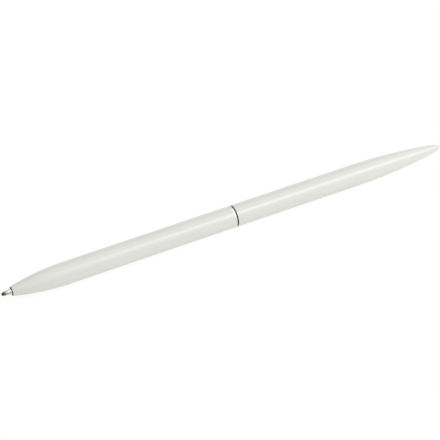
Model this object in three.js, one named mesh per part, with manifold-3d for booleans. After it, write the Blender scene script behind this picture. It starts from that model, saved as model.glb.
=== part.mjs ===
// A slim twist-action ballpoint pen, in millimetres.
// It lies along X on a flat surface with +Z up and its writing point toward -X.
// Half a turn of the upper barrel slides the refill; it is drawn with the point out.

import * as THREE from 'three';
import { mergeVertices } from 'three/addons/utils/BufferGeometryUtils.js';
import Module from 'manifold-3d';

const wasm = await Module();
wasm.setup();

// Barrels: thin drawn tubes, one with a long rounded nose and one with a long tapered tail.
// They are built round the refill and its mechanism, and come out 7.0 mm across.
const barrelWall = 0.4;
const lowerStraight = 55.1;
const noseLength = 17.7;
const mouthLip = 0.23;
const mouthFace = 0.08;
const mouthChamfer = 0.28;
const upperStraight = 42.9;
const tailLength = 32.2;
const tailEndRadius = 0.95;
const tailRounding = 5.0;
const tailSolid = 4.0;
const rimBevel = 0.08;

// Centre ring and the gap in which the upper barrel turns past it
const ringWidth = 0.52;
const ringProud = 0.03;
const ringFrontBevel = 0.06;
const ringRearBevel = 0.08;
const runningGap = 0.38;

// Refill
const refillDiameter = 3.0;
const refillWall = 0.25;
const neckDiameter = 2.3;
const neckPlugLength = 4.0;
const coneLength = 3.9;
const pointShown = 3.05;
const shankDiameter = 1.6;
const shankLength = 4.0;
const inkChannelDiameter = 0.4;
const inkLength = 62;
const followerLength = 6;
const ballDiameter = 0.8;
const ballShown = 0.25;
const socketLip = 0.08;

// Return spring and the liner that seats it
const springWire = 0.3;
const springLength = 8.0;
const springTurns = 6;
const springSetback = 4.9;
const linerSetback = 2.3;
const linerLength = 12.0;

// Twist mechanism
const travel = 5.4;
const twistAngle = Math.PI;
const camSetback = 20.0;
const camWall = 0.32;
const camRearMargin = 2.0;
const pinSetback = 13.6;
const pinDiameter = 1.0;
const plungerWall = 0.17;
const plungerNose = 2.5;
const plungerTail = 2.5;
const cupDepth = 1.9;
const ventDiameter = 1.4;
const guideWall = 0.28;
const guideEndLip = 0.6;
const shoulderLength = 1.5;
const washerThickness = 0.5;
const clipThickness = 0.5;
const clipGrooveDepth = 0.12;
const clipOpening = 1.6;
const collarWall = 0.64;
const collarLength = 7.0;
const collarSetback = 0.5;

// Push fit between the mechanism and the lower barrel
const bushLength = 10.0;
const stubLength = 8.0;
const stubStep = 0.3;
const flangeThickness = 1.5;
const gripRingWidth = 0.8;
const gripRingSpacing = 4.2;
const gripRingSetback = 1.6;
const gripGrooveDepth = 0.22;

// Clearances on the radius, or along the pen
const pressClearance = 0.03;
const slidingClearance = 0.05;
const looseClearance = 0.1;
const slotClearance = 0.12;
const ballClearance = 0.02;

// Facets round each piece
const barrelSides = 48;
const innerSides = 24;
const smallSides = 16;
const noseSteps = 8;
const tailSteps = 10;
const endSteps = 6;
const hiddenSteps = 5;
const coilSteps = 10;
const wireSteps = 3;
const camSlotSteps = 16;
const guideSlotSteps = 8;
const socketSteps = 8;

// Length of a cutter that goes right through a piece
const throughLength = 10;

// Radii, from the refill outward
const refillRadius = refillDiameter / 2;
const refillBore = refillRadius - refillWall;
const cupBore = refillRadius + pressClearance;
const plungerRadius = cupBore + plungerWall;
const guideBore = plungerRadius + slidingClearance;
const guideRadius = guideBore + guideWall;
const camBore = guideRadius + slidingClearance;
const camRadius = camBore + camWall;
const collarBore = camRadius + pressClearance;
const collarRadius = collarBore + collarWall;
const boreRadius = collarRadius + pressClearance;
const barrelRadius = boreRadius + barrelWall;
const stubRadius = guideRadius + stubStep;
const flangeRadius = boreRadius - looseClearance;
const neckRadius = neckDiameter / 2;
const mouthBore = neckRadius + slidingClearance;
const mouthRadius = mouthBore + mouthLip;

// Places along the pen, measured from the rear face of the lower barrel
const mouthX = -(lowerStraight + noseLength);
const tipX = mouthX - pointShown;
const lipX = tipX + ballShown;
const coneRearX = lipX + coneLength;
const springSeatX = mouthX + springSetback;
const tubeFrontX = springSeatX + springLength;
const ringRearX = ringWidth;
const flangeRearX = ringRearX + flangeThickness;
const upperFrontX = ringRearX + runningGap;
const taperX = upperFrontX + upperStraight;
const tailX = taperX + tailLength;
const camFrontX = camSetback;
const pinX = camFrontX + pinSetback;
const cupBottomX = pinX - plungerNose;
const refillRearX = cupBottomX - pressClearance;
const washerFrontX = camFrontX - pressClearance - washerThickness;
const shoulderRearX = washerFrontX - pressClearance;
const camSlotRadius = pinDiameter / 2 + slotClearance;
const camRearX = pinX + travel + camSlotRadius + camRearMargin;
const clipFrontX = camRearX + slidingClearance;
const clipRearX = clipFrontX + clipThickness;
const guideRearX = clipRearX + slidingClearance + guideEndLip;
const axisHeight = (barrelRadius + ringProud) * Math.cos(Math.PI / barrelSides);

// A closed solid geometry with shared corners and no collapsed triangles
function weld(geometry) {
  geometry.deleteAttribute('normal');
  geometry.deleteAttribute('uv');
  const merged = mergeVertices(geometry, 1e-5);
  const corners = merged.index.array;
  const kept = [];
  for (let i = 0; i < corners.length; i += 3) {
    const [a, b, c] = corners.slice(i, i + 3);
    if (a !== b && b !== c && c !== a) kept.push(a, b, c);
  }
  merged.setIndex(kept);
  return merged;
}

function toSolid(geometry) {
  const merged = weld(geometry);
  return new wasm.Manifold(new wasm.Mesh({
    numProp: 3,
    vertProperties: new Float32Array(merged.attributes.position.array),
    triVerts: new Uint32Array(merged.index.array),
  }));
}

function toGeometry(solid) {
  const mesh = solid.getMesh();
  const geometry = new THREE.BufferGeometry();
  geometry.setAttribute('position', new THREE.BufferAttribute(mesh.vertProperties, 3));
  geometry.setIndex(new THREE.BufferAttribute(mesh.triVerts, 1));
  return geometry;
}

function cut(geometry, cutters) {
  return toGeometry(cutters.reduce((solid, cutter) => solid.subtract(cutter), toSolid(geometry)));
}

// A solid of revolution about X. Its outline lists [x, radius] along the outside
// from front to rear and then back along the bore. A flat facet faces straight down.
function turned(outline, sides) {
  const points = outline.map(([x, radius]) => new THREE.Vector2(radius, x));
  points.push(points[0].clone());
  const geometry = new THREE.LatheGeometry(points, sides, Math.PI / sides);
  geometry.rotateZ(-Math.PI / 2);
  return weld(geometry);
}

// A plain tube or, with no bore, a plain rod
function tube(frontX, rearX, radius, bore, sides) {
  return turned([[frontX, radius], [rearX, radius], [rearX, bore], [frontX, bore]], sides);
}

// A rod across the pen, along Y
function crossRod(x, radius, length, sides) {
  const geometry = new THREE.CylinderGeometry(radius, radius, length, sides);
  geometry.translate(x, 0, 0);
  return weld(geometry);
}

// Places that divide a stretch evenly, with both ends
function stretch(from, to, steps) {
  return Array.from({ length: steps + 1 }, (_, i) => from + ((to - from) * i) / steps);
}

// Nose: an arc that runs into the straight barrel without an edge
function noseRadius(distance) {
  const rise = barrelRadius - mouthRadius;
  const arcRadius = (noseLength ** 2 + rise ** 2) / (2 * rise);
  const left = Math.max(noseLength - distance, 0);
  return barrelRadius - arcRadius + Math.sqrt(arcRadius ** 2 - left ** 2);
}

function noseBore(distance) {
  return Math.max(noseRadius(distance) - barrelWall, mouthBore);
}

// Tail: a long arc from the straight barrel, whose last stretch is closed by a rounded end
const tailDrop = barrelRadius - tailEndRadius;
const tailArcRadius = (tailLength ** 2 + tailDrop ** 2) / (2 * tailDrop);
const roundingStart = tailLength - tailRounding;

function tailRadius(distance) {
  const arc = barrelRadius - tailArcRadius + Math.sqrt(tailArcRadius ** 2 - distance ** 2);
  const rounded = Math.max(distance - roundingStart, 0) / tailRounding;
  return arc * Math.sqrt(Math.max(1 - rounded ** 2, 0));
}

function lowerBarrel() {
  const outside = stretch(mouthChamfer, noseLength, noseSteps).map((s) =>
    [mouthX + s, noseRadius(s)]);
  const inside = stretch(noseLength, mouthLip, hiddenSteps).map((s) => [mouthX + s, noseBore(s)]);
  return turned([[mouthX, mouthBore + mouthFace], ...outside, [0, barrelRadius],
    [0, boreRadius], ...inside, [mouthX, mouthBore]], barrelSides);
}

function upperBarrel() {
  const bevelled = [[upperFrontX, barrelRadius - rimBevel], [upperFrontX + rimBevel, barrelRadius]];
  const taper = stretch(0, roundingStart, tailSteps).map((s) => [taperX + s, tailRadius(s)]);
  const end = stretch(0, Math.PI / 2, endSteps).slice(1, -1).map((angle) => {
    const s = roundingStart + tailRounding * Math.sin(angle);
    return [taperX + s, tailRadius(s)];
  });
  const cavity = stretch(tailLength - tailSolid, 0, hiddenSteps).map((s) =>
    [taperX + s, tailRadius(s) - barrelWall]);
  const cavityEnd = [taperX + tailLength - tailSolid, 0];
  return turned([...bevelled, ...taper, ...end, [tailX, 0], cavityEnd, ...cavity,
    [upperFrontX, boreRadius]], barrelSides);
}

// Brass liner inside the nose: guides the refill's neck and seats the spring
function noseLiner() {
  const frontX = mouthX + linerSetback;
  const rear = linerSetback + linerLength;
  const springBore = neckRadius + looseClearance + springWire + looseClearance;
  const outside = stretch(linerSetback, rear, hiddenSteps).map((s) =>
    [mouthX + s, noseBore(s) - slidingClearance]);
  return turned([...outside, [mouthX + rear, springBore], [springSeatX, springBore],
    [springSeatX, mouthBore], [frontX, mouthBore]], innerSides);
}

class Coil extends THREE.Curve {
  getPoint(t) {
    const radius = neckRadius + looseClearance + springWire / 2;
    const start = springSeatX + springWire / 2 + pressClearance;
    const end = tubeFrontX - springWire / 2 - pressClearance;
    const turn = 2 * Math.PI * springTurns * t;
    return new THREE.Vector3(start + (end - start) * t, radius * Math.cos(turn),
      radius * Math.sin(turn));
  }
}

function returnSpring() {
  const wire = new THREE.Shape().absarc(0, 0, springWire / 2, 0, 2 * Math.PI);
  const coil = new THREE.ExtrudeGeometry(wire, {
    extrudePath: new Coil(), steps: springTurns * coilSteps, curveSegments: wireSteps,
  });
  return weld(coil);
}

// Bush pressed into the lower barrel, which takes the stub of the mechanism
function connectorBush() {
  return tube(-bushLength, 0, boreRadius - pressClearance, stubRadius + slidingClearance,
    innerSides);
}

function centreRing() {
  const top = barrelRadius + ringProud;
  const bore = stubRadius + slidingClearance;
  return turned([[0, top - ringFrontBevel], [ringFrontBevel, top],
    [ringWidth - ringRearBevel, top], [ringWidth, top - ringRearBevel],
    [ringWidth, bore], [0, bore]], barrelSides);
}

// Grooves round the stub, counted from its front
const gripGrooves = [0, 1].map((i) => {
  const frontX = -stubLength + gripRingSetback + i * gripRingSpacing;
  return { frontX, rearX: frontX + gripRingWidth + 2 * slidingClearance };
});

// Guide sleeve: its stub plugs into the lower barrel, its flange clamps the centre ring,
// and its tube carries the cam sleeve. Two straight slots keep the cross pin from turning.
function guideSleeve() {
  const grooveRadius = stubRadius - gripGrooveDepth;
  const stub = gripGrooves.flatMap(({ frontX, rearX }) => [[frontX, stubRadius],
    [frontX, grooveRadius], [rearX, grooveRadius], [rearX, stubRadius]]);
  const clipRadius = guideRadius - clipGrooveDepth;
  const outline = [[-stubLength, stubRadius], ...stub,
    [ringRearX, stubRadius], [ringRearX, flangeRadius], [flangeRearX, flangeRadius],
    [flangeRearX, guideRadius], [shoulderRearX - shoulderLength, guideRadius],
    [shoulderRearX - shoulderLength, camRadius], [shoulderRearX, camRadius],
    [shoulderRearX, guideRadius],
    [clipFrontX - slidingClearance, guideRadius], [clipFrontX - slidingClearance, clipRadius],
    [clipRearX + slidingClearance, clipRadius], [clipRearX + slidingClearance, guideRadius],
    [guideRearX, guideRadius], [guideRearX, guideBore], [-stubLength, guideBore]];
  const slotRadius = pinDiameter / 2 + looseClearance;
  const shape = new THREE.Shape()
    .absarc(pinX + travel, 0, slotRadius, -Math.PI / 2, Math.PI / 2)
    .absarc(pinX, 0, slotRadius, Math.PI / 2, (3 * Math.PI) / 2);
  const slot = new THREE.ExtrudeGeometry(shape, {
    depth: throughLength, bevelEnabled: false, curveSegments: guideSlotSteps,
  });
  slot.translate(0, 0, -throughLength / 2);
  slot.rotateX(Math.PI / 2);
  return cut(turned(outline, innerSides), [toSolid(slot)]);
}

function gripRing({ frontX }) {
  const ringFront = frontX + slidingClearance;
  return tube(ringFront, ringFront + gripRingWidth, stubRadius + slidingClearance - pressClearance,
    stubRadius - gripGrooveDepth + pressClearance, innerSides);
}

function frictionWasher() {
  return tube(washerFrontX, washerFrontX + washerThickness, camRadius,
    guideRadius + slidingClearance, innerSides);
}

// Spring clip snapped into a groove behind the cam sleeve, open on one side
function retainingClip() {
  const ring = tube(clipFrontX, clipRearX, camRadius,
    guideRadius - clipGrooveDepth + pressClearance, innerSides);
  const mouth = new THREE.BoxGeometry(throughLength, clipOpening, 2 * camRadius);
  mouth.translate((clipFrontX + clipRearX) / 2, 0, camRadius);
  return cut(ring, [toSolid(mouth)]);
}

// The space that one end of the cross pin sweeps in the cam sleeve over the whole twist:
// a helical channel with a round hole at each end
function camSlot(startAngle) {
  const inner = camBore / 2;
  const outer = throughLength / 2;
  const lead = travel / twistAngle;
  const meanRadius = (camBore + camRadius) / 2;
  const halfWidth = camSlotRadius * Math.hypot(1, lead / meanRadius);
  const positions = [];
  const index = [];
  const turns = stretch(0, twistAngle, camSlotSteps);
  turns.forEach((twist) => {
    const angle = startAngle - twist;
    const x = pinX + lead * twist;
    for (const [side, radius] of [[-1, inner], [1, inner], [1, outer], [-1, outer]]) {
      positions.push(x + side * halfWidth, radius * Math.cos(angle), radius * Math.sin(angle));
    }
  });
  for (let i = 0; i + 1 < turns.length; i += 1) {
    for (let side = 0; side < 4; side += 1) {
      const a = 4 * i + side;
      const b = 4 * i + ((side + 1) % 4);
      index.push(a, b + 4, b, a, a + 4, b + 4);
    }
  }
  const last = positions.length / 3 - 4;
  index.push(0, 1, 2, 0, 2, 3, last, last + 2, last + 1, last, last + 3, last + 2);
  const channel = new THREE.BufferGeometry();
  channel.setAttribute('position', new THREE.Float32BufferAttribute(positions, 3));
  channel.setIndex(index);
  const ends = [0, twistAngle].map((twist) => {
    const hole = new THREE.CylinderGeometry(camSlotRadius, camSlotRadius, outer - inner, smallSides);
    hole.translate(0, (inner + outer) / 2, 0);
    hole.rotateX(startAngle - twist);
    hole.translate(pinX + lead * twist, 0, 0);
    return toSolid(hole);
  });
  return ends.reduce((solid, end) => solid.add(end), toSolid(channel));
}

function camSleeve() {
  const sleeve = tube(camFrontX, camRearX, camRadius, camBore, innerSides);
  return cut(sleeve, [camSlot(0), camSlot(Math.PI)]);
}

function driveCollar() {
  const frontX = camFrontX + collarSetback;
  return tube(frontX, frontX + collarLength, collarRadius, collarBore, innerSides);
}

// Plunger: a cup for the refill's end, drilled across for the pin and vented behind
function plunger() {
  const rearX = pinX + plungerTail;
  const body = turned([[cupBottomX - cupDepth, plungerRadius], [rearX, plungerRadius],
    [rearX, ventDiameter / 2], [cupBottomX, ventDiameter / 2], [cupBottomX, cupBore],
    [cupBottomX - cupDepth, cupBore]], innerSides);
  const hole = crossRod(pinX, pinDiameter / 2 + pressClearance, throughLength, smallSides);
  return cut(body, [toSolid(hole)]);
}

function camPin() {
  return crossRod(pinX, pinDiameter / 2, 2 * (camRadius - slidingClearance), smallSides);
}

// Cone of the refill, with a socket that closes past the widest part of the ball
function refillTip() {
  const ballX = tipX + ballDiameter / 2;
  const socketRadius = ballDiameter / 2 + ballClearance;
  const channel = inkChannelDiameter / 2;
  const lipAngle = Math.acos((ballX - lipX) / socketRadius);
  const backAngle = Math.PI - Math.asin(channel / socketRadius);
  const socket = stretch(backAngle, lipAngle, socketSteps).map((angle) =>
    [ballX - socketRadius * Math.cos(angle), socketRadius * Math.sin(angle)]);
  const lipRadius = socketRadius * Math.sin(lipAngle) + socketLip;
  const shankRearX = coneRearX + shankLength;
  return turned([[lipX, lipRadius], [coneRearX, neckRadius], [coneRearX, shankDiameter / 2],
    [shankRearX, shankDiameter / 2], [shankRearX, channel], ...socket], smallSides);
}

// Neck between the cone and the ink tube, stepped to plug into the tube
function refillNeck() {
  const plugRearX = tubeFrontX + neckPlugLength;
  const plugRadius = refillBore - pressClearance;
  const bore = shankDiameter / 2 + pressClearance;
  return turned([[coneRearX, neckRadius], [tubeFrontX, neckRadius], [tubeFrontX, plugRadius],
    [plugRearX, plugRadius], [plugRearX, bore], [coneRearX, bore]], innerSides);
}

const inkFrontX = tubeFrontX + neckPlugLength + pressClearance;
const followerFrontX = inkFrontX + inkLength + pressClearance;

function writingBall() {
  const ball = new THREE.SphereGeometry(ballDiameter / 2, smallSides, smallSides / 2);
  ball.translate(tipX + ballDiameter / 2, 0, 0);
  return weld(ball);
}

// Colours and finishes
function finish(color, roughness, metalness) {
  return new THREE.MeshStandardMaterial({ color, roughness, metalness, flatShading: true });
}
const lacquer = finish(0xdedfd9, 0.35, 0.0);
const polished = finish(0xd9d9d6, 0.12, 1.0);
const brass = finish(0xc6a15a, 0.35, 1.0);
const steel = finish(0xa9abad, 0.3, 1.0);
const nylon = finish(0xe4e1d6, 0.5, 0.0);
const blackRubber = finish(0x222222, 0.8, 0.0);
const ink = finish(0x14162e, 0.3, 0.0);
const grease = finish(0xd8cf9f, 0.3, 0.0);
const carbide = finish(0x3c3e42, 0.15, 1.0);

function piece(name, geometry, material) {
  geometry.computeVertexNormals();
  const mesh = new THREE.Mesh(geometry, material);
  mesh.name = name;
  return mesh;
}

function unit(...pieces) {
  return new THREE.Group().add(...pieces);
}

// What stays still in the hand
const lowerUnit = unit(
  piece('lower_barrel', lowerBarrel(), lacquer),
  piece('nose_liner', noseLiner(), brass),
  piece('connector_bush', connectorBush(), brass),
  piece('return_spring', returnSpring(), steel),
);

// What pulls out of the lower barrel when the pen is parted
const mechanismUnit = unit(
  piece('guide_sleeve', guideSleeve(), brass),
  piece('centre_ring', centreRing(), polished),
  piece('grip_ring_front', gripRing(gripGrooves[0]), blackRubber),
  piece('grip_ring_rear', gripRing(gripGrooves[1]), blackRubber),
  piece('friction_washer', frictionWasher(), nylon),
  piece('retaining_clip', retainingClip(), steel),
);

// What turns with the upper barrel
const twistUnit = unit(
  piece('upper_barrel', upperBarrel(), lacquer),
  piece('drive_collar', driveCollar(), brass),
  piece('cam_sleeve', camSleeve(), nylon),
);

// What slides when the pen is twisted
const refillUnit = unit(
  piece('plunger', plunger(), nylon),
  piece('cam_pin', camPin(), steel),
  piece('refill_tube', tube(tubeFrontX, refillRearX, refillRadius, refillBore, innerSides), steel),
  piece('refill_neck', refillNeck(), nylon),
  piece('refill_tip', refillTip(), polished),
  piece('ink_column', tube(inkFrontX, inkFrontX + inkLength, refillBore - pressClearance, 0,
    smallSides), ink),
  piece('ink_follower', tube(followerFrontX, followerFrontX + followerLength,
    refillBore - pressClearance, 0, smallSides), grease),
  piece('writing_ball', writingBall(), carbide),
);

const pen = unit(lowerUnit, mechanismUnit, twistUnit, refillUnit);
pen.position.set(-(tipX + tailX) / 2, 0, axisHeight);
pen.updateMatrixWorld(true);

export default pen;
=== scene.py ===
# A slim twist-action ballpoint pen that lies on a white table with its writing point out.
from math import acos, asin, cos, hypot, pi, radians, sin, sqrt

import bmesh
import bpy
from mathutils import Matrix, Vector


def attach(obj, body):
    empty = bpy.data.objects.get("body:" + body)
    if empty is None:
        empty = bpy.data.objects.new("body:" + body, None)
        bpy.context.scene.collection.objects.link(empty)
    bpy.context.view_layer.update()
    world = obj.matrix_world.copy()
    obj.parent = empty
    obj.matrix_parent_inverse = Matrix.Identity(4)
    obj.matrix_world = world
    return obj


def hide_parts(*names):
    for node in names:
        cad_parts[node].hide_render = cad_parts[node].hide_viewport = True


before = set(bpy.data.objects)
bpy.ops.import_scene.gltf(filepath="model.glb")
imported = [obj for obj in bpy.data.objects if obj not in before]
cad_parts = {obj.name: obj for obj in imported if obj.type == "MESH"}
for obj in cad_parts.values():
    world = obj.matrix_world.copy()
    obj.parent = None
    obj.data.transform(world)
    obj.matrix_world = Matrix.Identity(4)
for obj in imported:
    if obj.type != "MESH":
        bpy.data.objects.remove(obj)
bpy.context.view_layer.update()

# The camera stands beyond the pen's near side and a little toward its writing point, and looks
# down on it from about 45 degrees. Its long lens keeps the barrel nearly straight-sided.
mm = 0.001
axis_height = 3.5224
parting_face = -0.075
aim_behind_face = 0.676
aim_distance = 467.59
shift_left = 4.179
shift_down = 1.182
sensor_width = 36
lens_pixels = 1500
picture_pixels = 440
view_turn = radians(25.86)
view_drop = radians(44.24)
to_right = Vector((cos(view_turn), -sin(view_turn), 0))
to_front = Vector((sin(view_turn) * cos(view_drop), cos(view_turn) * cos(view_drop),
                   -sin(view_drop)))
to_top = to_right.cross(to_front)
aim = Vector((parting_face + aim_behind_face, 0, axis_height))
camera_place = aim - shift_left * to_right - shift_down * to_top - aim_distance * to_front

camera_data = bpy.data.cameras.new("camera")
camera_data.sensor_width = sensor_width
camera_data.lens = sensor_width * lens_pixels / picture_pixels
camera_data.clip_start = 0.01
camera_data.clip_end = 20
camera = bpy.data.objects.new("camera", camera_data)
turn = Matrix((to_right, to_top, -to_front)).transposed().to_4x4()
camera.matrix_world = Matrix.Translation(camera_place * mm) @ turn
bpy.context.scene.collection.objects.link(camera)
bpy.context.scene.camera = camera


# Lower barrel: a brass tube drawn down to a long rounded nose, nickel plated and then sprayed with
# off-white lacquer and stoved. The inside of the chamfer round its mouth, its cut end and its
# bore stay nickel.
pen_place = Matrix.Scale(mm, 4) @ Matrix.Translation((parting_face, 0, axis_height))
barrel_radius = 3.5
barrel_wall = 0.4
bore_radius = barrel_radius - barrel_wall
mouth = -72.8
nose_length = 17.7
mouth_radius = 1.43
mouth_bore = 1.2
mouth_face = 0.08
mouth_chamfer = 0.28
lacquer_line = 0.22
lacquer_edge = 0.035
# Painted shade round the mouth: the nickel is fully dark up to the first of these distances behind
# the mouth, and plain again by the second.
mouth_shade_start = 0.5
mouth_shade_end = 1.5
weld = 0.0005


def linear(code):
    """Scene-linear colour of an sRGB hex code."""
    parts = [int(code[i:i + 2], 16) / 255 for i in (0, 2, 4)]
    return (*(p / 12.92 if p <= 0.04045 else ((p + 0.055) / 1.055) ** 2.4 for p in parts), 1)


def add(material, kind, inputs=None, **settings):
    """Adds a node with its settings, and sets or links its inputs."""
    node = material.node_tree.nodes.new(kind)
    for name, value in settings.items():
        setattr(node, name, value)
    for name, value in (inputs or {}).items():
        if isinstance(value, bpy.types.NodeSocket):
            material.node_tree.links.new(value, node.inputs[name])
        else:
            node.inputs[name].default_value = value
    return node


def new_finish(name):
    """An empty node material."""
    material = bpy.data.materials.new(name)
    material.use_nodes = True
    material.node_tree.nodes.clear()
    return material


def spread(start, end, steps):
    """Places that divide a stretch evenly, with both ends."""
    return [start + (end - start) * i / steps for i in range(steps + 1)]


def rounded(shape, lines, width):
    """Rounds the given edges of a shape."""
    bmesh.ops.bevel(shape, geom=lines, offset=width, offset_type="OFFSET", segments=3, profile=0.5,
                    affect="EDGES", clamp_overlap=True, material=-1)


def turned(outline, sides=192, edge=0.0):
    """Turns an outline of (place, radius) points in mm about the pen's axis, with round edges."""
    shape = bmesh.new()
    corners = [shape.verts.new((place, 0, radius)) for place, radius in outline]
    for first, second in zip(corners, corners[1:]):
        shape.edges.new((first, second))
    if outline[0][1] > 0 or outline[-1][1] > 0:
        shape.edges.new((corners[-1], corners[0]))
    bmesh.ops.spin(shape, geom=shape.verts[:] + shape.edges[:], cent=(0, 0, 0), axis=(1, 0, 0),
                   dvec=(0, 0, 0), angle=2 * pi, steps=sides, use_merge=True,
                   use_normal_flip=False, use_duplicate=False)
    bmesh.ops.remove_doubles(shape, verts=shape.verts, dist=weld)
    # An outline's line along the axis sweeps no face, so it is taken out.
    wires = [e for e in shape.edges if not e.link_faces]
    bmesh.ops.delete(shape, geom=wires, context="EDGES")
    bmesh.ops.recalc_face_normals(shape, faces=shape.faces)
    if edge:
        rounded(shape, [e for e in shape.edges if e.calc_face_angle(0) > radians(25)], edge)
    return shape


def make_piece(shape, name, body, nodes, materials):
    """Puts a finished shape in its place on the pen, hangs it on the body it rides on, and hides
    the parts of model.glb that it stands for.
    """
    for face in shape.faces:
        face.smooth = True
    for line in shape.edges:
        line.smooth = line.calc_face_angle(0) < radians(40)
    bmesh.ops.transform(shape, matrix=pen_place, verts=shape.verts)
    mesh = bpy.data.meshes.new(name)
    shape.to_mesh(mesh)
    shape.free()
    for material in materials:
        mesh.materials.append(material)
    piece = bpy.data.objects.new(name, mesh)
    bpy.context.scene.collection.objects.link(piece)
    even = piece.modifiers.new("even_shading", "WEIGHTED_NORMAL")
    even.keep_sharp = True
    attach(piece, body)
    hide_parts(*nodes)


def outward(face):
    """How far a face of a turned shape looks straight away from the pen's axis, from -1 to 1."""
    middle = face.calc_center_median()
    return face.normal.dot(Vector((0, middle.y, middle.z)).normalized())


def nose_radius(distance):
    """Outside radius of the nose, an arc that runs into the straight barrel without an edge."""
    rise = barrel_radius - mouth_radius
    arc = (nose_length ** 2 + rise ** 2) / (2 * rise)
    left = max(nose_length - distance, 0)
    return barrel_radius - arc + sqrt(arc ** 2 - left ** 2)


def nose_bore(distance):
    """Inside radius of the nose."""
    return max(nose_radius(distance) - barrel_wall, mouth_bore)


# Satin stoved lacquer over metal: an even coat whose orange peel softens the highlight, with a
# sheen that varies a little where it has been handled.
lacquer = new_finish("satin_stoved_lacquer")
place = add(lacquer, "ShaderNodeTexCoord").outputs["Object"]
cloud = add(lacquer, "ShaderNodeTexNoise", {"Vector": place, "Scale": 1000 / 9, "Detail": 2})
tint = add(lacquer, "ShaderNodeMix", {"Factor": cloud.outputs["Fac"], "A": linear("E1E2DB"),
           "B": linear("DEDFD8")}, data_type="RGBA")
smear = add(lacquer, "ShaderNodeTexNoise", {"Vector": place, "Scale": 1000 / 5, "Detail": 4})
sheen = add(lacquer, "ShaderNodeMapRange", {"Value": smear.outputs["Fac"], "From Min": 0.3,
            "From Max": 0.7, "To Min": 0.285, "To Max": 0.32})
peel = add(lacquer, "ShaderNodeTexNoise", {"Vector": place, "Scale": 1000 / 0.7, "Detail": 1})
relief = add(lacquer, "ShaderNodeBump", {"Height": peel.outputs["Fac"], "Strength": 1,
             "Distance": 0.000002})
coat = add(lacquer, "ShaderNodeBsdfPrincipled", {"Base Color": tint.outputs["Result"],
           "Roughness": sheen.outputs["Result"], "Normal": relief.outputs["Normal"]})
add(lacquer, "ShaderNodeOutputMaterial", {"Surface": coat.outputs["BSDF"]})

# Thin nickel plate left bare: a grey mirror, dulled by handling. Round the mouth its colour is
# darkened: painted shade of the gap between the mouth and the point.
nickel = new_finish("handled_nickel_plate")
place = add(nickel, "ShaderNodeTexCoord").outputs["Object"]
patch = add(nickel, "ShaderNodeTexNoise", {"Vector": place, "Scale": 1000 / 1.5, "Detail": 3})
parts = add(nickel, "ShaderNodeSeparateXYZ", {"Vector": place})
# Painted shade: darkens the nickel's colour just behind the mouth.
mouth_painted_shade = add(nickel, "ShaderNodeMapRange", {"Value": parts.outputs["X"],
            "From Min": (mouth + parting_face + mouth_shade_start) * mm,
            "From Max": (mouth + parting_face + mouth_shade_end) * mm, "To Min": 1, "To Max": 0})
tint = add(nickel, "ShaderNodeMix", {"Factor": patch.outputs["Fac"], "A": linear("B0AEA9"),
           "B": linear("A2A09B")}, data_type="RGBA")
tint = add(nickel, "ShaderNodeMix", {"Factor": mouth_painted_shade.outputs["Result"],
           "A": tint.outputs["Result"], "B": linear("585652")}, data_type="RGBA")
dull = add(nickel, "ShaderNodeMapRange", {"Value": patch.outputs["Fac"], "To Min": 0.12,
           "To Max": 0.26})
metal = add(nickel, "ShaderNodeBsdfPrincipled", {"Base Color": tint.outputs["Result"],
            "Metallic": 1, "Roughness": dull.outputs["Result"]})
add(nickel, "ShaderNodeOutputMaterial", {"Surface": metal.outputs["BSDF"]})

nose = [(mouth + s, nose_radius(s)) for s in spread(mouth_chamfer, nose_length, 48)]
straight = [(place, barrel_radius) for place in spread(mouth + nose_length, 0, 12)[1:]]
inside = [(mouth + s, nose_bore(s)) for s in spread(nose_length, 0.2, 16)]
face_radius = mouth_bore + mouth_face
line_radius = face_radius + (nose[0][1] - face_radius) * lacquer_line / mouth_chamfer
shape = turned([(mouth, face_radius), (mouth + lacquer_line, line_radius), *nose, *straight,
                (0, bore_radius), *inside, (mouth, mouth_bore)], edge=lacquer_edge)
for face in shape.faces:
    lacquered = outward(face) > 0.5 and face.calc_center_median().x > mouth + lacquer_line
    face.material_index = 0 if lacquered else 1
make_piece(shape, "lower_barrel_lacquered", "lower_half", ["lower_barrel"],
           [lacquer, nickel])


# Liner inside the nose, turned from brass to fit it. It guides the refill's neck and seats the
# spring.
seat = -67.9
liner_front = 2.3
liner_rear = 14.3
spring_bore = 1.65
liner_outside = [(mouth + s, nose_bore(s) - 0.05) for s in spread(liner_front, liner_rear, 12)]

# Turned brass: fine tool lines round the piece, a little duller in patches.
brass = new_finish("turned_brass")
place = add(brass, "ShaderNodeTexCoord").outputs["Object"]
along = add(brass, "ShaderNodeMapping", {"Vector": place, "Scale": (1, 0.02, 0.02)})
lines = add(brass, "ShaderNodeTexNoise", {"Vector": along.outputs["Vector"], "Scale": 1000 / 0.12,
            "Detail": 2})
patch = add(brass, "ShaderNodeTexNoise", {"Vector": place, "Scale": 1000 / 3, "Detail": 3})
tint = add(brass, "ShaderNodeMix", {"Factor": patch.outputs["Fac"], "A": linear("E2C07A"),
           "B": linear("C9A25A")}, data_type="RGBA")
dull = add(brass, "ShaderNodeMapRange", {"Value": patch.outputs["Fac"], "To Min": 0.22,
           "To Max": 0.38})
relief = add(brass, "ShaderNodeBump", {"Height": lines.outputs["Fac"], "Strength": 0.6,
             "Distance": 0.000004})
metal = add(brass, "ShaderNodeBsdfPrincipled", {"Base Color": tint.outputs["Result"],
            "Metallic": 1, "Roughness": dull.outputs["Result"],
            "Normal": relief.outputs["Normal"]})
add(brass, "ShaderNodeOutputMaterial", {"Surface": metal.outputs["BSDF"]})

shape = turned([*liner_outside, (mouth + liner_rear, spring_bore), (seat, spring_bore),
                (seat, mouth_bore), (mouth + liner_front, mouth_bore)], sides=96, edge=0.04)
make_piece(shape, "nose_liner_turned", "lower_half", ["nose_liner"], [brass])


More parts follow.
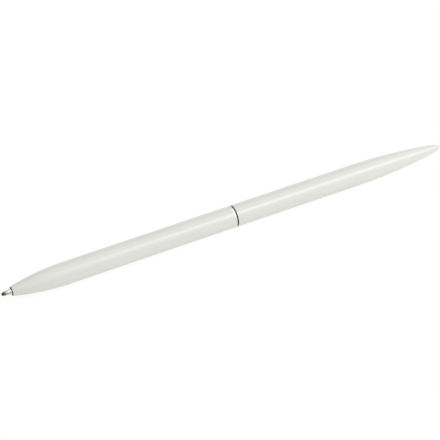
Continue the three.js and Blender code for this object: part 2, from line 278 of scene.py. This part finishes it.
# Connector bush: a turned brass tube, pressed into the rear of the lower barrel and reamed for
# the mechanism's stub, which plugs into it.
bush_length = 10.0
bush_radius = 3.07
stub_bore = 2.38
shape = turned([(-bush_length, bush_radius), (0, bush_radius), (0, stub_bore),
                (-bush_length, stub_bore)], edge=0.08)
make_piece(shape, "connector_bush_turned", "lower_half", ["connector_bush"], [brass])


# Return spring: bright drawn steel wire, wound round the refill's neck between the liner's
# shoulder and the end of the ink tube.
wire_radius = 0.15
coil_radius = 1.4
coil_start = -67.72
coil_end = -60.08
coil_turns = 6
steps_per_turn = 48

# Drawn steel wire: bright, with die lines that show only as a soft sheen.
steel = new_finish("drawn_steel")
place = add(steel, "ShaderNodeTexCoord").outputs["Object"]
grain = add(steel, "ShaderNodeTexNoise", {"Vector": place, "Scale": 1000 / 0.15, "Detail": 3})
dull = add(steel, "ShaderNodeMapRange", {"Value": grain.outputs["Fac"], "To Min": 0.2,
           "To Max": 0.36})
metal = add(steel, "ShaderNodeBsdfPrincipled", {"Base Color": linear("C4C5C7"), "Metallic": 1,
            "Roughness": dull.outputs["Result"]})
add(steel, "ShaderNodeOutputMaterial", {"Surface": metal.outputs["BSDF"]})

shape = bmesh.new()
bmesh.ops.create_circle(shape, cap_ends=True, segments=12, radius=wire_radius)
bmesh.ops.rotate(shape, verts=shape.verts, cent=(0, 0, 0), matrix=Matrix.Rotation(pi / 2, 3, "X"))
bmesh.ops.translate(shape, verts=shape.verts, vec=(coil_start, 0, coil_radius))
steps = coil_turns * steps_per_turn
bmesh.ops.spin(shape, geom=shape.faces[:], cent=(0, 0, 0), axis=(1, 0, 0),
               dvec=((coil_end - coil_start) / steps, 0, 0), angle=2 * pi * coil_turns,
               steps=steps, use_merge=False, use_normal_flip=False, use_duplicate=False)
bmesh.ops.remove_doubles(shape, verts=shape.verts, dist=weld)
bmesh.ops.recalc_face_normals(shape, faces=shape.faces)
make_piece(shape, "return_spring_coiled", "lower_half", ["return_spring"], [steel])


# Guide sleeve: the fixed tube of the twist mechanism, turned from brass. Its stub plugs into the
# lower barrel, its flange clamps the centre ring, and two milled slots guide the pin. The flange's
# outside is painted near black, as shade in the running gap.
ring_width = 0.52
stub_length = 8.0
stub_radius = 2.33
groove_radius = 2.11
groove_width = 0.9
groove_fronts = [-6.4, -2.2]
flange_radius = 3.0
flange_rear = 2.02
guide_radius = 2.03
guide_bore = 1.75
guide_rear = 42.82
shoulder_front = 17.94
shoulder_rear = 19.44
cam_radius = 2.4
clip_groove_front = 41.62
clip_groove_rear = 42.22
clip_groove_radius = 1.91
pin_place = 33.6
travel = 5.4
guide_slot_radius = 0.6
mill_reach = 5.0
margin = 0.01


def loose_object(shape, name):
    """Puts a shape in an object of its own."""
    mesh = bpy.data.meshes.new(name)
    shape.to_mesh(mesh)
    shape.free()
    thing = bpy.data.objects.new(name, mesh)
    bpy.context.scene.collection.objects.link(thing)
    return thing


def milled(shape, cutters):
    """Cuts closed shapes out of another one, and gives what is left of it."""
    blank = loose_object(shape, "blank")
    tools = [loose_object(cutter, "cutter") for cutter in cutters]
    for tool in tools:
        cut = blank.modifiers.new("cut", "BOOLEAN")
        cut.operation = "DIFFERENCE"
        cut.solver = "EXACT"
        cut.object = tool
    finished = blank.evaluated_get(bpy.context.evaluated_depsgraph_get())
    result = bmesh.new()
    result.from_mesh(finished.to_mesh())
    finished.to_mesh_clear()
    for thing in (blank, *tools):
        mesh = thing.data
        bpy.data.objects.remove(thing)
        bpy.data.meshes.remove(mesh)
    bmesh.ops.remove_doubles(result, verts=result.verts, dist=weld)
    bmesh.ops.recalc_face_normals(result, faces=result.faces)
    return result


def end_mill(place, radius, length, reach):
    """The space that a round cutter sweeps right across the pen, along Y, on a straight run."""
    shape = bmesh.new()
    bmesh.ops.create_circle(shape, cap_ends=True, segments=48, radius=radius)
    for vert in shape.verts:
        if vert.co.x > 0.0001:
            vert.co.x += length
    bmesh.ops.rotate(shape, verts=shape.verts, cent=(0, 0, 0),
                     matrix=Matrix.Rotation(pi / 2, 3, "X"))
    bmesh.ops.translate(shape, verts=shape.verts, vec=(place, -reach, 0))
    side = bmesh.ops.extrude_face_region(shape, geom=shape.faces[:])["geom"]
    moved = [item for item in side if isinstance(item, bmesh.types.BMVert)]
    bmesh.ops.translate(shape, verts=moved, vec=(0, 2 * reach, 0))
    bmesh.ops.recalc_face_normals(shape, faces=shape.faces)
    return shape


# Near-black, half-dull metal on the flange's outside: painted shade, which stands in for the
# shadow that keeps the running gap between the barrels dark.
painted_gap_shade = new_finish("painted_gap_shade")
place = add(painted_gap_shade, "ShaderNodeTexCoord").outputs["Object"]
patch = add(painted_gap_shade, "ShaderNodeTexNoise", {"Vector": place, "Scale": 1000 / 0.8, "Detail": 3})
tint = add(painted_gap_shade, "ShaderNodeMix", {"Factor": patch.outputs["Fac"], "A": linear("353534"),
           "B": linear("434240")}, data_type="RGBA")
dull = add(painted_gap_shade, "ShaderNodeMapRange", {"Value": patch.outputs["Fac"], "To Min": 0.4,
           "To Max": 0.55})
metal = add(painted_gap_shade, "ShaderNodeBsdfPrincipled", {"Base Color": tint.outputs["Result"],
            "Metallic": 1, "Roughness": dull.outputs["Result"]})
add(painted_gap_shade, "ShaderNodeOutputMaterial", {"Surface": metal.outputs["BSDF"]})

outline = [(-stub_length, stub_radius)]
for front in groove_fronts:
    outline += [(front, stub_radius), (front, groove_radius),
                (front + groove_width, groove_radius), (front + groove_width, stub_radius)]
outline += [(ring_width, stub_radius), (ring_width, flange_radius), (flange_rear, flange_radius),
            (flange_rear, guide_radius), (shoulder_front, guide_radius),
            (shoulder_front, cam_radius), (shoulder_rear, cam_radius),
            (shoulder_rear, guide_radius), (clip_groove_front, guide_radius),
            (clip_groove_front, clip_groove_radius), (clip_groove_rear, clip_groove_radius),
            (clip_groove_rear, guide_radius), (guide_rear, guide_radius),
            (guide_rear, guide_bore), (-stub_length, guide_bore)]
shape = turned(outline, sides=96, edge=0.04)
shape = milled(shape, [end_mill(pin_place, guide_slot_radius, travel, mill_reach)])
# The flange's outside, at the bottom of the running gap, takes the painted gap shade.
for face in shape.faces:
    middle = face.calc_center_median()
    on_flange = ring_width - margin < middle.x < flange_rear + margin
    face.material_index = 1 if on_flange and hypot(middle.y, middle.z) > guide_radius else 0
make_piece(shape, "guide_sleeve_turned", "mechanism", ["guide_sleeve"],
           [brass, painted_gap_shade])


# Centre ring: a thin brass ring, chrome plated, clamped between the stub's flange and the lower
# barrel. It stands a hair proud of the lacquer.
ring_radius = 3.52
ring_front_bevel = 0.04
ring_rear_bevel = 0.12

# Satin chrome over brushed brass: white and soft, with fine brushing lines round the ring.
chrome = new_finish("satin_chrome_plate")
place = add(chrome, "ShaderNodeTexCoord").outputs["Object"]
along = add(chrome, "ShaderNodeMapping", {"Vector": place, "Scale": (1, 0.05, 0.05)})
lines = add(chrome, "ShaderNodeTexNoise", {"Vector": along.outputs["Vector"],
            "Scale": 1000 / 0.08, "Detail": 2})
dull = add(chrome, "ShaderNodeMapRange", {"Value": lines.outputs["Fac"], "To Min": 0.52,
           "To Max": 0.64})
metal = add(chrome, "ShaderNodeBsdfPrincipled", {"Base Color": linear("EEEEEB"), "Metallic": 1,
            "Roughness": dull.outputs["Result"]})
add(chrome, "ShaderNodeOutputMaterial", {"Surface": metal.outputs["BSDF"]})

shape = turned([(0, ring_radius - ring_front_bevel), (ring_front_bevel, ring_radius),
                (ring_width - ring_rear_bevel, ring_radius),
                (ring_width, ring_radius - ring_rear_bevel), (ring_width, stub_bore),
                (0, stub_bore)], edge=0.02)
make_piece(shape, "centre_ring_plated", "mechanism", ["centre_ring"], [chrome])


# Grip rings: two moulded rings of black nitrile rubber, stretched into the stub's grooves. They
# are squeezed a little when the stub goes home, and hold the push fit.
grip_radius = 2.35
grip_bore = 2.14
grip_width = 0.8
grip_setback = 0.05

# Moulded nitrile rubber: matt black with a fine grain and a grey bloom.
rubber = new_finish("moulded_nitrile_rubber")
place = add(rubber, "ShaderNodeTexCoord").outputs["Object"]
grain = add(rubber, "ShaderNodeTexNoise", {"Vector": place, "Scale": 1000 / 0.1, "Detail": 3})
bloom = add(rubber, "ShaderNodeTexNoise", {"Vector": place, "Scale": 1000 / 1.2, "Detail": 3})
tint = add(rubber, "ShaderNodeMix", {"Factor": bloom.outputs["Fac"], "A": linear("1C1C1D"),
           "B": linear("2E2E2F")}, data_type="RGBA")
relief = add(rubber, "ShaderNodeBump", {"Height": grain.outputs["Fac"], "Strength": 0.5,
             "Distance": 0.000006})
soft = add(rubber, "ShaderNodeBsdfPrincipled", {"Base Color": tint.outputs["Result"],
           "Roughness": 0.72, "Specular IOR Level": 0.4, "Normal": relief.outputs["Normal"]})
add(rubber, "ShaderNodeOutputMaterial", {"Surface": soft.outputs["BSDF"]})

for front, name in zip(groove_fronts, ["front", "rear"]):
    start = front + grip_setback
    end = start + grip_width
    shape = turned([(start, grip_radius), (end, grip_radius), (end, grip_bore),
                    (start, grip_bore)], sides=96, edge=0.08)
    make_piece(shape, f"grip_ring_{name}_moulded", "mechanism", [f"grip_ring_{name}"],
               [rubber])


# Friction washer: stamped nylon, between the guide sleeve's shoulder and the cam sleeve. Its
# drag holds the twist where it is left.
washer_front = 19.47
washer_rear = 19.97
washer_bore = 2.08

# Moulded nylon: off-white, slightly cloudy inside, with the soft gloss of the mould.
nylon = new_finish("moulded_nylon")
place = add(nylon, "ShaderNodeTexCoord").outputs["Object"]
cloud = add(nylon, "ShaderNodeTexNoise", {"Vector": place, "Scale": 1000 / 4, "Detail": 2})
tint = add(nylon, "ShaderNodeMix", {"Factor": cloud.outputs["Fac"], "A": linear("E8E5DA"),
           "B": linear("DEDACD")}, data_type="RGBA")
skin = add(nylon, "ShaderNodeTexNoise", {"Vector": place, "Scale": 1000 / 0.3, "Detail": 2})
dull = add(nylon, "ShaderNodeMapRange", {"Value": skin.outputs["Fac"], "To Min": 0.36,
           "To Max": 0.5})
relief = add(nylon, "ShaderNodeBump", {"Height": skin.outputs["Fac"], "Strength": 0.5,
             "Distance": 0.000004})
plastic = add(nylon, "ShaderNodeBsdfPrincipled", {"Base Color": tint.outputs["Result"],
              "Roughness": dull.outputs["Result"], "Normal": relief.outputs["Normal"],
              "Subsurface Weight": 0.15, "Subsurface Radius": (0.0008, 0.0007, 0.0005),
              "Subsurface Scale": 1.0})
add(nylon, "ShaderNodeOutputMaterial", {"Surface": plastic.outputs["BSDF"]})

shape = turned([(washer_front, cam_radius), (washer_rear, cam_radius), (washer_rear, washer_bore),
                (washer_front, washer_bore)], sides=96, edge=0.04)
make_piece(shape, "friction_washer_stamped", "mechanism", ["friction_washer"], [nylon])


# Cam sleeve: moulded nylon with two helical slots, half a turn long, which drive the cross pin
# along the pen as the upper barrel turns.
cam_front = 20.0
cam_rear = 41.62
cam_bore = 2.08
cam_slot_radius = 0.62
cutter_inside = 1.04
cutter_outside = 5.0
slot_steps = 48


def helical_slot(start):
    """The space that one end of the cross pin sweeps in the cam sleeve, with round ends."""
    lead = travel / pi
    half = cam_slot_radius * hypot(1, lead / ((cam_bore + cam_radius) / 2))
    shape = bmesh.new()
    corners = [(-half, cutter_inside), (half, cutter_inside), (half, cutter_outside),
               (-half, cutter_outside)]
    face = shape.faces.new([shape.verts.new((pin_place + along, radius * cos(start),
                                             radius * sin(start))) for along, radius in corners])
    bmesh.ops.spin(shape, geom=[face], cent=(0, 0, 0), axis=(1, 0, 0),
                   dvec=(travel / slot_steps, 0, 0), angle=-pi, steps=slot_steps,
                   use_merge=False, use_normal_flip=False, use_duplicate=False)
    bmesh.ops.recalc_face_normals(shape, faces=shape.faces)
    parts = [shape]
    for twist in (0, pi):
        end = bmesh.new()
        bmesh.ops.create_cone(end, cap_ends=True, segments=48, radius1=cam_slot_radius,
                              radius2=cam_slot_radius, depth=cutter_outside - cutter_inside)
        bmesh.ops.translate(end, verts=end.verts, vec=(0, 0, (cutter_inside + cutter_outside) / 2))
        bmesh.ops.rotate(end, verts=end.verts, cent=(0, 0, 0),
                         matrix=Matrix.Rotation(start - twist - pi / 2, 3, "X"))
        bmesh.ops.translate(end, verts=end.verts, vec=(pin_place + lead * twist, 0, 0))
        parts.append(end)
    return parts


shape = turned([(cam_front, cam_radius), (cam_rear, cam_radius), (cam_rear, cam_bore),
                (cam_front, cam_bore)], sides=96, edge=0.04)
shape = milled(shape, [*helical_slot(0), *helical_slot(pi)])
make_piece(shape, "cam_sleeve_moulded", "upper_half", ["cam_sleeve"], [nylon])


# Drive collar: turned brass, pressed on the cam sleeve and into the upper barrel, so that the
# barrel turns the cam.
collar_front = 20.5
collar_rear = 27.5
collar_radius = 3.07
collar_bore = 2.43
shape = turned([(collar_front, collar_radius), (collar_rear, collar_radius),
                (collar_rear, collar_bore), (collar_front, collar_bore)], sides=128, edge=0.08)
make_piece(shape, "drive_collar_turned", "upper_half", ["drive_collar"], [brass])


# Upper barrel: a brass tube swaged down to a long tapered tail with a small round end. It is
# finished like the lower one, with its rim and bore left nickel.
upper_front = 0.9
taper_start = 43.8
tail_length = 32.2
tail_end_radius = 0.95
tail_rounding = 2.7
tail_solid = 4.0
rim_edge = 0.07
rim_support = 0.2
tail_drop = barrel_radius - tail_end_radius
tail_arc = (tail_length ** 2 + tail_drop ** 2) / (2 * tail_drop)
rounding_start = tail_length - tail_rounding


def tail_radius(distance):
    """Outside radius of the tail, a long arc whose last stretch is closed by a round end."""
    rounded = max(distance - rounding_start, 0) / tail_rounding
    return (barrel_radius - tail_arc + sqrt(tail_arc ** 2 - distance ** 2)) * sqrt(
        max(1 - rounded ** 2, 0))


# A first ring of points close behind the rim keeps the highlight even up to its edge.
straight = [(place, barrel_radius) for place in spread(upper_front + rim_support, taper_start, 10)]
taper = [(taper_start + s, tail_radius(s)) for s in spread(0, rounding_start, 54)[1:]]
end_steps = [rounding_start + tail_rounding * sin(a) for a in spread(0, pi / 2, 24)[1:-1]]
round_end = [(taper_start + s, tail_radius(s)) for s in end_steps]
solid_end = tail_length - tail_solid
cavity = [(taper_start + s, tail_radius(s) - barrel_wall) for s in spread(solid_end, 0, 16)]
shape = turned([(upper_front, barrel_radius), *straight, *taper, *round_end,
                (taper_start + tail_length, 0), (taper_start + solid_end, 0), *cavity,
                (upper_front, bore_radius)], edge=rim_edge)
for face in shape.faces:
    in_bore = outward(face) < -0.5 or face.normal.x < -0.7
    face.material_index = 1 if in_bore else 0
make_piece(shape, "upper_barrel_lacquered", "upper_half", ["upper_barrel"],
           [lacquer, nickel])


# Retaining clip: stamped spring steel, open on one side, snapped into the groove behind the cam
# sleeve.
clip_front = 41.67
clip_rear = 42.17
clip_bore = 1.94
clip_opening = 1.6
cutter_length = 2.0
cutter_height = 4.0
shape = turned([(clip_front, cam_radius), (clip_rear, cam_radius), (clip_rear, clip_bore),
                (clip_front, clip_bore)], sides=96, edge=0.04)
opening = bmesh.new()
bmesh.ops.create_cube(opening, size=1)
bmesh.ops.scale(opening, vec=(cutter_length, clip_opening, cutter_height), verts=opening.verts)
bmesh.ops.translate(opening, vec=(clip_front, 0, cutter_height / 2), verts=opening.verts)
shape = milled(shape, [opening])
make_piece(shape, "retaining_clip_stamped", "mechanism", ["retaining_clip"], [steel])


# Plunger: a moulded nylon cup that grips the refill's end. It is drilled across for the pin and
# vented behind.
plunger_front = 29.2
plunger_rear = 36.1
plunger_radius = 1.7
cup_bottom = 31.1
cup_bore = 1.53
vent_radius = 0.7
pin_hole_radius = 0.53
shape = turned([(plunger_front, plunger_radius), (plunger_rear, plunger_radius),
                (plunger_rear, vent_radius), (cup_bottom, vent_radius), (cup_bottom, cup_bore),
                (plunger_front, cup_bore)], sides=96, edge=0.04)
shape = milled(shape, [end_mill(pin_place, pin_hole_radius, 0, mill_reach)])
make_piece(shape, "plunger_moulded", "refill", ["plunger"], [nylon])


# Cross pin: a ground steel pin with broken edges. It goes through the plunger and all four slots,
# and carries the refill along the pen as the cam turns.
pin_radius = 0.5
pin_length = 4.7
pin_edge = 0.08
shape = bmesh.new()
bmesh.ops.create_cone(shape, cap_ends=True, segments=48, radius1=pin_radius, radius2=pin_radius,
                      depth=pin_length)
rounded(shape, [e for e in shape.edges if e.calc_face_angle(0) > radians(60)], pin_edge)
bmesh.ops.rotate(shape, verts=shape.verts, cent=(0, 0, 0), matrix=Matrix.Rotation(pi / 2, 3, "X"))
bmesh.ops.translate(shape, verts=shape.verts, vec=(pin_place, 0, 0))
make_piece(shape, "cam_pin_ground", "refill", ["cam_pin"], [steel])


# Refill tube: thin drawn brass that holds the ink, crimped twice on the neck's plug so that the
# two can't part.
tube_front = -59.9
tube_rear = 31.07
tube_radius = 1.5
tube_bore = 1.25
crimps = [-58.9, -57.3]
crimp_half = 0.3
crimp_depth = 0.07

# Drawn brass tube: die lines along it, and a film of lacquer that keeps it from tarnishing.
drawn_brass = new_finish("drawn_brass_tube")
place = add(drawn_brass, "ShaderNodeTexCoord").outputs["Object"]
along = add(drawn_brass, "ShaderNodeMapping", {"Vector": place, "Scale": (0.02, 1, 1)})
lines = add(drawn_brass, "ShaderNodeTexNoise", {"Vector": along.outputs["Vector"],
            "Scale": 1000 / 0.15, "Detail": 2})
patch = add(drawn_brass, "ShaderNodeTexNoise", {"Vector": place, "Scale": 1000 / 6, "Detail": 3})
tint = add(drawn_brass, "ShaderNodeMix", {"Factor": patch.outputs["Fac"], "A": linear("DDBB74"),
           "B": linear("C79F57")}, data_type="RGBA")
dull = add(drawn_brass, "ShaderNodeMapRange", {"Value": lines.outputs["Fac"], "To Min": 0.2,
           "To Max": 0.36})
metal = add(drawn_brass, "ShaderNodeBsdfPrincipled", {"Base Color": tint.outputs["Result"],
            "Metallic": 1, "Roughness": dull.outputs["Result"]})
add(drawn_brass, "ShaderNodeOutputMaterial", {"Surface": metal.outputs["BSDF"]})

outside = [(tube_front, tube_radius)]
for crimp in crimps:
    for offset in spread(-crimp_half, crimp_half, 12):
        dent = crimp_depth * (1 + cos(pi * offset / crimp_half)) / 2
        outside.append((crimp + offset, tube_radius - dent))
shape = turned([*outside, (tube_rear, tube_radius), (tube_rear, tube_bore),
                (tube_front, tube_bore)], sides=96, edge=0.05)
make_piece(shape, "refill_tube_drawn", "refill", ["refill_tube"], [drawn_brass])


# Refill neck: moulded nylon, stepped to plug into the ink tube. The point is pressed into its
# front end, and the return spring sits round it.
cone_rear = -71.7
neck_radius = 1.15
neck_bore = 0.83
plug_rear = -55.9
plug_radius = 1.22
shape = turned([(cone_rear, neck_radius), (tube_front, neck_radius), (tube_front, plug_radius),
                (plug_rear, plug_radius), (plug_rear, neck_bore), (cone_rear, neck_bore)],
               sides=96, edge=0.03)
make_piece(shape, "refill_neck_moulded", "refill", ["refill_neck"], [nylon])


# Refill point: a turned nickel silver cone, burnished bright. Its shank is pressed into the neck,
# and its rim is rolled over the ball.
tip_front = -75.6
ball_radius = 0.4
ball_centre = -75.45
socket_radius = 0.42
channel_radius = 0.2
shank_radius = 0.8
shank_length = 4.0
rim_wall = 0.08
film_creep = 0.5
film_full = 0.6
film_end = 2.1
lip_angle = acos((ball_centre - tip_front) / socket_radius)
back_angle = pi - asin(channel_radius / socket_radius)
lip_radius = socket_radius * sin(lip_angle) + rim_wall

# Burnished nickel silver: a warm grey mirror, with fine turning lines. A film of ink creeps back
# over the rolled rim, and fades out unevenly over the first two millimetres of the cone.
nickel_silver = new_finish("burnished_nickel_silver")
place = add(nickel_silver, "ShaderNodeTexCoord").outputs["Object"]
along = add(nickel_silver, "ShaderNodeMapping", {"Vector": place, "Scale": (1, 0.05, 0.05)})
lines = add(nickel_silver, "ShaderNodeTexNoise", {"Vector": along.outputs["Vector"],
            "Scale": 1000 / 0.06, "Detail": 2})
creep = add(nickel_silver, "ShaderNodeTexNoise", {"Vector": place, "Scale": 1000 / 0.5,
            "Detail": 3})
parts = add(nickel_silver, "ShaderNodeSeparateXYZ", {"Vector": place})
edge = add(nickel_silver, "ShaderNodeMath", {0: creep.outputs["Fac"], 1: film_creep * mm,
           2: parts.outputs["X"]}, operation="MULTIPLY_ADD")
stain = add(nickel_silver, "ShaderNodeMapRange", {"Value": edge.outputs[0],
            "From Min": (tip_front + parting_face + film_full) * mm,
            "From Max": (tip_front + parting_face + film_end) * mm, "To Min": 1, "To Max": 0},
            interpolation_type="SMOOTHSTEP")
tint = add(nickel_silver, "ShaderNodeMix", {"Factor": stain.outputs["Result"],
           "A": linear("CFCDC9"), "B": linear("4A4A4B")}, data_type="RGBA")
dull = add(nickel_silver, "ShaderNodeMapRange", {"Value": lines.outputs["Fac"], "To Min": 0.1,
           "To Max": 0.2})
metal = add(nickel_silver, "ShaderNodeBsdfPrincipled", {"Base Color": tint.outputs["Result"],
            "Metallic": 1, "Roughness": dull.outputs["Result"]})
add(nickel_silver, "ShaderNodeOutputMaterial", {"Surface": metal.outputs["BSDF"]})

socket = [(ball_centre - socket_radius * cos(a), socket_radius * sin(a))
          for a in spread(back_angle, lip_angle, 16)]
shape = turned([(tip_front, lip_radius), (cone_rear, neck_radius), (cone_rear, shank_radius),
                (cone_rear + shank_length, shank_radius),
                (cone_rear + shank_length, channel_radius), *socket], sides=128, edge=0.02)
make_piece(shape, "refill_tip_burnished", "refill", ["refill_tip"],
           [nickel_silver])


# Writing ball: ground tungsten carbide, held in the socket by the rolled rim. It carries the ink
# from the channel behind it to the paper.

# Ground carbide: a dark grey metal, near black under a film of ink that is thicker in patches.
carbide = new_finish("ground_carbide")
place = add(carbide, "ShaderNodeTexCoord").outputs["Object"]
film = add(carbide, "ShaderNodeTexNoise", {"Vector": place, "Scale": 1000 / 0.2, "Detail": 2})
tint = add(carbide, "ShaderNodeMix", {"Factor": film.outputs["Fac"], "A": linear("242425"),
           "B": linear("161617")}, data_type="RGBA")
metal = add(carbide, "ShaderNodeBsdfPrincipled", {"Base Color": tint.outputs["Result"],
            "Metallic": 1, "Roughness": 0.3})
add(carbide, "ShaderNodeOutputMaterial", {"Surface": metal.outputs["BSDF"]})

shape = bmesh.new()
bmesh.ops.create_uvsphere(shape, u_segments=48, v_segments=24, radius=ball_radius)
bmesh.ops.translate(shape, verts=shape.verts, vec=(ball_centre, 0, 0))
make_piece(shape, "writing_ball_ground", "ball", ["writing_ball"], [carbide])


# Ink column and follower: a thick ink that fills two thirds of the tube, and behind it a plug of
# clear grease, which keeps the ink from drying or running back.
ink_front = -55.87
ink_rear = 6.13
follower_front = 6.16
follower_rear = 12.16
ink_radius = 1.22

# Ballpoint ink: a blue-black paste that is thinner where it wets the wall.
ink = new_finish("ballpoint_ink")
place = add(ink, "ShaderNodeTexCoord").outputs["Object"]
swirl = add(ink, "ShaderNodeTexNoise", {"Vector": place, "Scale": 1000 / 2, "Detail": 3})
tint = add(ink, "ShaderNodeMix", {"Factor": swirl.outputs["Fac"], "A": linear("14162E"),
           "B": linear("1D2040")}, data_type="RGBA")
paste = add(ink, "ShaderNodeBsdfPrincipled", {"Base Color": tint.outputs["Result"],
            "Roughness": 0.15})
add(ink, "ShaderNodeOutputMaterial", {"Surface": paste.outputs["BSDF"]})

# Follower grease: clear and pale amber, with a little cloud where it meets the ink.
grease = new_finish("follower_grease")
place = add(grease, "ShaderNodeTexCoord").outputs["Object"]
cloud = add(grease, "ShaderNodeTexNoise", {"Vector": place, "Scale": 1000 / 1, "Detail": 3})
tint = add(grease, "ShaderNodeMix", {"Factor": cloud.outputs["Fac"], "A": linear("E6DDB0"),
           "B": linear("D2C68C")}, data_type="RGBA")
jelly = add(grease, "ShaderNodeBsdfPrincipled", {"Base Color": tint.outputs["Result"],
            "Roughness": 0.2, "IOR": 1.47, "Transmission Weight": 0.6})
add(grease, "ShaderNodeOutputMaterial", {"Surface": jelly.outputs["BSDF"]})

for name, front, rear, slot, finish in [("ink_column", ink_front, ink_rear, "ink", ink),
                                        ("ink_follower", follower_front, follower_rear, "grease",
                                         grease)]:
    shape = turned([(front, 0), (front, ink_radius), (rear, ink_radius), (rear, 0)], sides=64,
                   edge=0.1)
    make_piece(shape, f"{name}_filled", "refill", [name], [finish])


# A matt white table in a white room. To the eye and in reflections it glows by itself and takes
# only a faint shadow, and to all other light it is plain white paint.
table_size = 3
table = new_finish("white_table")
rays = add(table, "ShaderNodeLightPath").outputs
seen = add(table, "ShaderNodeMath", {0: rays["Is Camera Ray"], 1: rays["Is Glossy Ray"]},
           operation="MAXIMUM")
seen = add(table, "ShaderNodeMath", {0: seen.outputs[0], 1: rays["Is Transmission Ray"]},
           operation="MAXIMUM")
glow = add(table, "ShaderNodeEmission", {"Color": (1, 1, 1, 1), "Strength": 0.9})
shade = add(table, "ShaderNodeBsdfDiffuse", {"Color": (0.115, 0.115, 0.115, 1)})
white = add(table, "ShaderNodeAddShader", {0: glow.outputs[0], 1: shade.outputs[0]})
bounce = add(table, "ShaderNodeBsdfDiffuse", {"Color": (0.97, 0.97, 0.97, 1)})
both = add(table, "ShaderNodeMixShader", {0: seen.outputs[0], 1: bounce.outputs[0],
           2: white.outputs[0]})
add(table, "ShaderNodeOutputMaterial", {"Surface": both.outputs[0]})

shape = bmesh.new()
bmesh.ops.create_grid(shape, x_segments=1, y_segments=1, size=table_size / 2)
mesh = bpy.data.meshes.new("table")
shape.to_mesh(mesh)
shape.free()
mesh.materials.append(table)
table_top = bpy.data.objects.new("table", mesh)
bpy.context.scene.collection.objects.link(table_top)

# The room is white to the eye and a little brighter toward the tail. In reflections it has a
# bright ceiling panel over the point, and a dark strip low down all round, which rises behind
# the pen, where the light tent is open.
room = bpy.data.worlds.new("light_tent")
room.use_nodes = True
room.node_tree.nodes.clear()
bpy.context.scene.world = room
rays = add(room, "ShaderNodeLightPath").outputs
direction = add(room, "ShaderNodeTexCoord").outputs["Generated"]
parts = add(room, "ShaderNodeSeparateXYZ", {"Vector": direction}).outputs
slope = add(room, "ShaderNodeMath", {0: parts["Y"], 1: -0.25, 2: parts["Z"]},
            operation="MULTIPLY_ADD")
low = add(room, "ShaderNodeMapRange", {"Value": slope.outputs[0], "From Min": 0.08,
          "From Max": 0.2, "To Min": 0.9, "To Max": 0.08}, interpolation_type="SMOOTHSTEP")
high = add(room, "ShaderNodeMapRange", {"Value": slope.outputs[0], "From Min": 0.4,
           "From Max": 0.56, "To Min": 0, "To Max": 0.92}, interpolation_type="SMOOTHSTEP")
edge = add(room, "ShaderNodeMapRange", {"Value": parts["X"], "From Min": 0.05, "From Max": 0.25,
           "To Min": 0.6, "To Max": 0})
panel = add(room, "ShaderNodeMapRange", {"Value": parts["Z"], "From Min": 0.6, "From Max": 0.72,
            "To Min": 0, "To Max": edge.outputs["Result"]}, interpolation_type="SMOOTHSTEP")
mirrored = low.outputs["Result"]
for part in (high, panel):
    mirrored = add(room, "ShaderNodeMath", {0: mirrored, 1: part.outputs["Result"]},
                   operation="ADD").outputs[0]
level = add(room, "ShaderNodeMix", {"Factor": rays["Is Glossy Ray"], "A": 0.71, "B": mirrored},
            data_type="FLOAT")
lean = add(room, "ShaderNodeMapRange", {"Value": parts["X"], "From Min": -1, "To Min": 0.5,
           "To Max": 1.5})
level = add(room, "ShaderNodeMath", {0: level.outputs["Result"], 1: lean.outputs["Result"]},
            operation="MULTIPLY")
seen = add(room, "ShaderNodeMath", {0: rays["Is Camera Ray"], 1: rays["Is Transmission Ray"]},
           operation="MAXIMUM")
level = add(room, "ShaderNodeMix", {"Factor": seen.outputs[0], "A": level.outputs[0], "B": 1.0},
            data_type="FLOAT")
light = add(room, "ShaderNodeBackground", {"Color": (1, 1, 1, 1),
            "Strength": level.outputs["Result"]})
add(room, "ShaderNodeOutputWorld", {"Surface": light.outputs[0]})

# A long softbox above the near side of the tail, aimed at the middle of the pen. It draws the
# highlight along the barrels.
lamp_data = bpy.data.lights.new("softbox", "AREA")
lamp_data.shape = "RECTANGLE"
lamp_data.size = 0.45
lamp_data.size_y = 0.17
lamp_data.energy = 1.48
lamp = bpy.data.objects.new("softbox", lamp_data)
lamp_place = Vector((0.3, -0.263, 0.505))
facing = -lamp_place.normalized()
toward_tail = Vector((1, 0, 0))
lamp_side = (toward_tail - toward_tail.dot(facing) * facing).normalized()
lamp_turn = Matrix((lamp_side, (-facing).cross(lamp_side), -facing)).transposed().to_4x4()
lamp.matrix_world = Matrix.Translation(lamp_place) @ lamp_turn
bpy.context.scene.collection.objects.link(lamp)

bpy.context.scene.view_settings.view_transform = "Standard"
